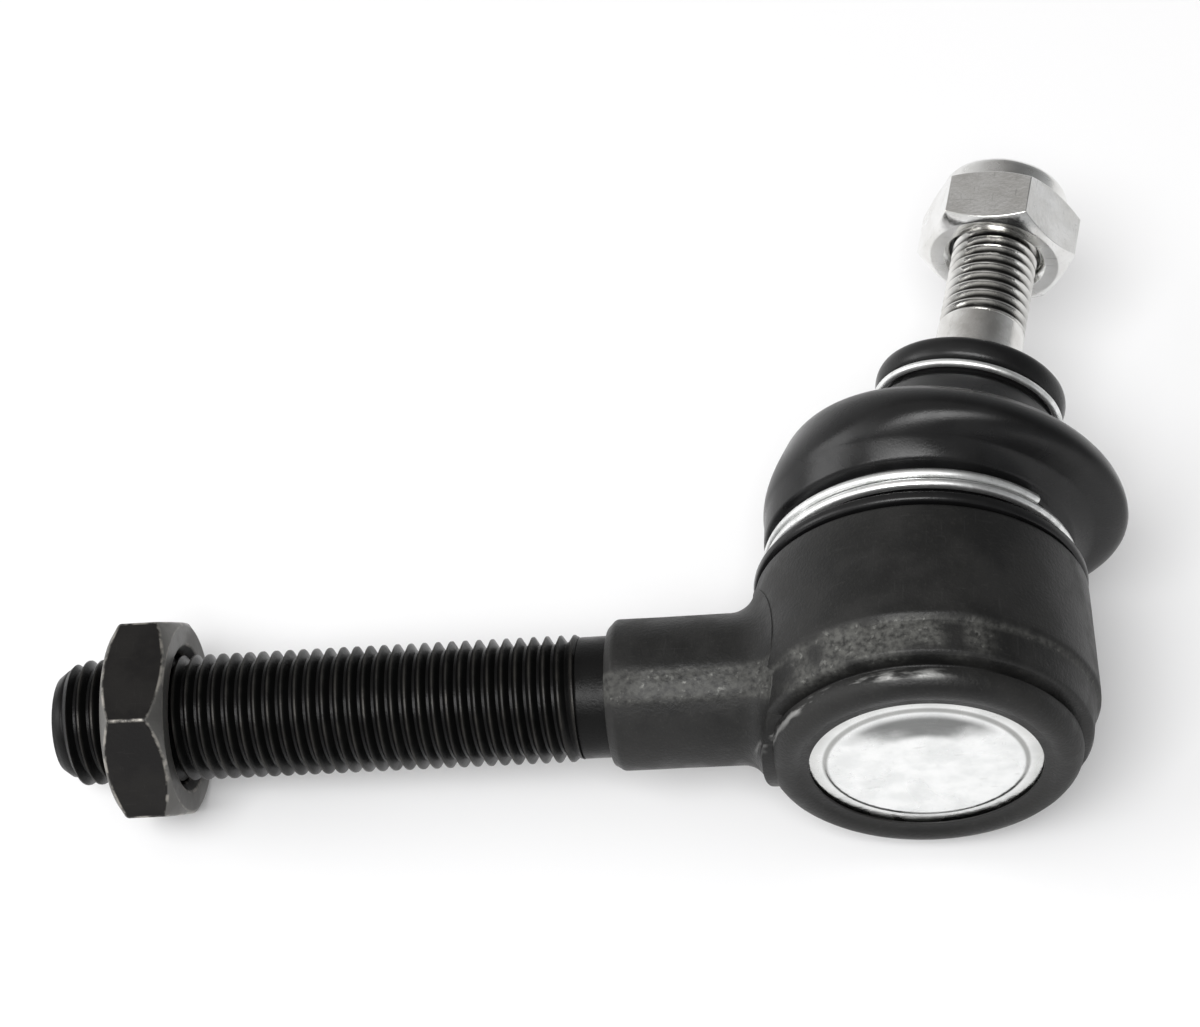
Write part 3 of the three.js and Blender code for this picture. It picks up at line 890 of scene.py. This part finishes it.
# ---- stud and nuts ------------------------------------------------------------------------------
def ball_stud():
    body = turned([
        (0, -8.4),
        *arc(0, 0, 9.5, -62.2, 59.0, 22),
        (4.8, 9.2, 0.8),
        (4.8, 17.5, 0.8),
        (5.45, 21.5, 0.6),
        (4.92, TAPER_END, 0.2),
        (4.55, TAPER_END + 0.35),
        (4.0, TAPER_END + 1.0),
        (0, TAPER_END + 1.0),
    ], 64)
    threaded = thread(
        TAPER_END - 0.2, STUD_END, STUD_CREST_R, STUD_ROOT_R, STUD_PITCH, (STUD_END, 0.9, 0.9), None,
    )
    obj = piece("threaded_ball_stud", gathered([(body, 0), (threaded, 0)]), STUD, [turned_steel()])
    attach(obj, "stud")
    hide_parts("ball_stud")


def hexagon(flats, height):
    """Hexagonal prism about Y with two corners on the X axis. It runs 1 mm past y = 0 and past height, so
    that the turned shape it is cut to gives the end faces, and no two faces lie in one plane."""
    bm = bmesh.new()
    made = bmesh.ops.create_circle(bm, cap_ends=True, segments=6, radius=flats / math.sqrt(3))
    bmesh.ops.rotate(bm, verts=made["verts"], cent=(0, 0, 0), matrix=Matrix.Rotation(math.pi / 2, 3, "X"))
    bmesh.ops.rotate(bm, verts=made["verts"], cent=(0, 0, 0), matrix=Matrix.Rotation(math.pi / 6, 3, "Y"))
    corner = max(bm.verts, key=lambda vert: (round(vert.co.x, 3), vert.co.z))
    turn = math.atan2(corner.co.z, corner.co.x)
    bmesh.ops.rotate(bm, verts=made["verts"], cent=(0, 0, 0), matrix=Matrix.Rotation(turn, 3, "Y"))
    grown = bmesh.ops.extrude_face_region(bm, geom=bm.faces[:])["geom"]
    moved = [item for item in grown if isinstance(item, bmesh.types.BMVert)]
    bmesh.ops.translate(bm, verts=moved, vec=(0, height + 2, 0))
    bmesh.ops.translate(bm, verts=bm.verts, vec=(0, -1, 0))
    bmesh.ops.holes_fill(bm, edges=[edge for edge in bm.edges if edge.is_boundary])
    bmesh.ops.recalc_face_normals(bm, faces=bm.faces)
    return bm


def off_corners(bm):
    """Turns a round shape a little, so that none of its edges runs along a corner or middle of a hexagon."""
    bmesh.ops.rotate(bm, verts=bm.verts, cent=(0, 0, 0), matrix=Matrix.Rotation(math.radians(1.1), 3, "Y"))
    return bm


def stud_nut():
    corner = STUD_NUT_FLATS / math.sqrt(3)
    outside = turned([
        (0, 0),
        (7.4, 0, 0.1),
        (corner + 0.1, (corner + 0.1 - 7.4) * 0.62),
        (corner + 0.1, STUD_NUT_HEX - 0.8),
        (STUD_NUT_FLATS / 2 - 0.06, STUD_NUT_HEX),
        (7.3, STUD_NUT_HEX + 0.3, 0.2),
        (7.3, STUD_NUT_HEIGHT, 1.3),
        (0, STUD_NUT_HEIGHT),
    ], 96)
    hollow = turned([
        (0, -1),
        (6.9, -1),
        (5.9, 0),
        (5.2, 0.9),
        (5.2, 7.0),
        (6.4, 7.0),
        (6.4, 9.5),
        (5.8, 9.5),
        (5.8, 11),
        (0, 11),
    ], 64)
    cuts = [("INTERSECT", off_corners(outside)), ("DIFFERENCE", hollow)]
    bm = shaped(hexagon(STUD_NUT_FLATS, STUD_NUT_HEIGHT), cuts, (0.16, 20))
    mark_edges(bm, 0.14)
    place = STUD @ Matrix.Translation((0, STUD_NUT_FACE, 0))
    place = place @ Matrix.Rotation(math.radians(STUD_NUT_TURN_DEG), 4, "Y")
    obj = piece("lock_nut", bm, place, [bright_zinc()], sharp_deg=30, flat_over=6)
    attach(obj, "nut")
    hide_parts("stud_nut")


def jam_nut():
    corner = JAM_NUT_FLATS / math.sqrt(3)
    chamfer = (corner - JAM_NUT_FACE_R) * JAM_NUT_CHAMFER
    outside = turned([
        (0, 0),
        (JAM_NUT_FACE_R, 0, 0.1),
        (corner + 0.1, chamfer + 0.05),
        (corner + 0.1, JAM_NUT_HEIGHT - chamfer - 0.05),
        (JAM_NUT_FACE_R, JAM_NUT_HEIGHT, 0.1),
        (0, JAM_NUT_HEIGHT),
    ], 120)
    bore = SHANK_CREST_R + 0.3
    hollow = turned([
        (0, -1),
        (bore + 1.9, -1),
        (bore, 0.9),
        (bore, JAM_NUT_HEIGHT - 0.9),
        (bore + 1.9, JAM_NUT_HEIGHT + 1),
        (0, JAM_NUT_HEIGHT + 1),
    ], 96)
    cuts = [("INTERSECT", off_corners(outside)), ("DIFFERENCE", hollow)]
    bm = shaped(hexagon(JAM_NUT_FLATS, JAM_NUT_HEIGHT), cuts, (0.3, 20))
    mark_edges(bm, 0.24)
    place = EYE @ Matrix.Translation((JAM_NUT_X, 0, 0))
    place = place @ Matrix.Rotation(math.radians(JAM_NUT_TURN_DEG), 4, "X") @ ALONG_X
    obj = piece("shank_jam_nut", bm, place, [black_nut()], sharp_deg=30, flat_over=10)
    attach(obj, "jam_nut")
    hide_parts("jam_nut")


# ---- camera, light and floor --------------------------------------------------------------------
def camera():
    view = bpy.data.cameras.new("camera")
    view.sensor_width = 36.0
    view.lens = 91.7
    view.clip_start = 0.01
    view.clip_end = 20
    obj = bpy.data.objects.new("camera", view)
    right = eye_turn @ Vector((0.988871, 0.031972, -0.145298))
    up = eye_turn @ Vector((0.057950, 0.816722, 0.574114))
    turn = Matrix((right, up, right.cross(up))).transposed().to_4x4()
    obj.matrix_world = Matrix.Translation(EYE @ Vector((11.5228, -173.4222, 276.4660))) @ turn
    bpy.context.scene.collection.objects.link(obj)
    bpy.context.scene.camera = obj


def area_light(name, place, aim, size, power):
    lamp = bpy.data.lights.new(name, "AREA")
    lamp.shape = "RECTANGLE"
    lamp.size, lamp.size_y = size
    lamp.energy = power
    obj = bpy.data.objects.new(name, lamp)
    obj.location = place
    obj.rotation_euler = (Vector(aim) - Vector(place)).to_track_quat("-Z", "Y").to_euler()
    bpy.context.scene.collection.objects.link(obj)


def studio():
    bm = bmesh.new()
    bmesh.ops.create_grid(bm, x_segments=1, y_segments=1, size=3)
    finish = Finish("studio_floor", Matrix.Identity(4))
    finish.plain(Base_Color=(0.72, 0.72, 0.725, 1), Roughness=0.6)
    finish.plain(Emission_Color=(1, 1, 1, 1), Emission_Strength=0.15)
    floor = piece("floor", bm, Matrix.Identity(4), [finish.material])

    area_light("key", (-0.22, -0.62, 1.15), (0, 0, 0.02), (0.85, 0.6), 15)
    area_light("left_fill", (-1.3, -0.15, 0.55), (0, 0, 0.02), (0.9, 0.7), 7.5)
    lamp = bpy.data.lights.new("soft_sky", "SUN")
    lamp.angle = math.radians(90)
    lamp.energy = 0.5
    sun = bpy.data.objects.new("soft_sky", lamp)
    sun.rotation_euler = (math.radians(8), math.radians(-14), 0)
    bpy.context.scene.collection.objects.link(sun)

    world = bpy.data.worlds.new("studio")
    world.use_nodes = True
    tree = world.node_tree
    where = tree.nodes.new("ShaderNodeTexCoord")
    split = add(tree, "ShaderNodeSeparateXYZ", {"Vector": where.outputs["Generated"]})
    rise = spread(tree, split.outputs["Z"], 0.0, 0.75)
    across = spread(tree, split.outputs["X"], -0.6, 0.6)
    low = mixed(tree, across, (0.85, 0.85, 0.85), (0.42, 0.43, 0.44))
    high = mixed(tree, across, (0.36, 0.35, 0.34), (0.12, 0.12, 0.12))
    tree.links.new(mixed(tree, rise, low, high), tree.nodes["Background"].inputs["Color"])
    bpy.context.scene.world = world
    bpy.context.scene.view_settings.view_transform = "Standard"


# ---- making -------------------------------------------------------------------------------------
camera()
studio()
housing()
end_cap()
boot_wires()
boot()
ball_stud()
stud_nut()
jam_nut()

hidden = {
    "upper_bearing_seat": moulded("seat_plastic", EYE, (0.66, 0.63, 0.54), (0.55, 0.52, 0.43), 0.4),
    "nut_insert": moulded("nylon", STUD, (0.72, 0.75, 0.80), (0.62, 0.66, 0.72), 0.35),
    "preload_spring": spring_steel(),
}
hidden["lower_bearing_seat"] = hidden["upper_bearing_seat"]
for name, material in hidden.items():
    mesh = frame["nodes"][name].data
    mesh.materials.clear()
    mesh.materials.append(material)
